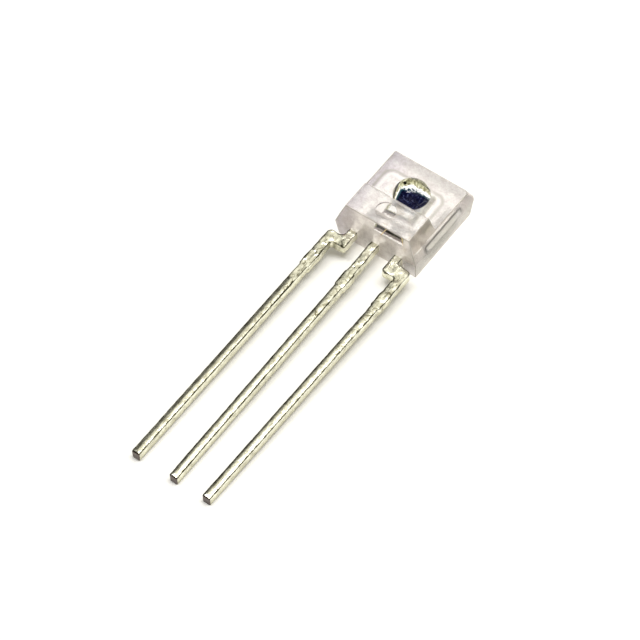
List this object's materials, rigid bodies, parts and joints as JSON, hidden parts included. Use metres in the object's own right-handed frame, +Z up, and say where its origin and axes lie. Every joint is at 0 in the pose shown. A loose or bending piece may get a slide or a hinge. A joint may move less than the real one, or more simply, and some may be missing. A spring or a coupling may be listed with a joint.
{
  "type": "light-to-frequency sensor",
  "caption": "Small clear moulded light sensor with a domed lens, a raised bar at its lead end and flat tin-plated leads, the outer ones jogged outwards.",
  "frame": {"origin": "middle of the bounding box at its base, on the surface that the part lies on", "axes": "+X across the leads, from the ground lead to the output lead; +Y from the lead tips to the far end of the package; +Z up, roughly out of the lens"},
  "size_m": [0.0046, 0.0202, 0.0026],
  "materials": {
    "clear_epoxy": "clear with a faint lilac tint, satin faces and a polished lens",
    "tin_plating": "bright tin plating with a wavy dipped surface",
    "silver_adhesive": "matte silver-filled epoxy",
    "silicon": "dark blue polished silicon",
    "gold_wire": "bright gold"
  },
  "bodies": {
    "root": {"clear_package": "clear_epoxy", "ground_lead_with_paddle": "tin_plating", "supply_lead": "tin_plating", "output_lead": "tin_plating", "chip_adhesive": "silver_adhesive", "sensor_chip": "silicon", "supply_bond_wire": "gold_wire", "output_bond_wire": "gold_wire"}
  },
  "joints": []
}
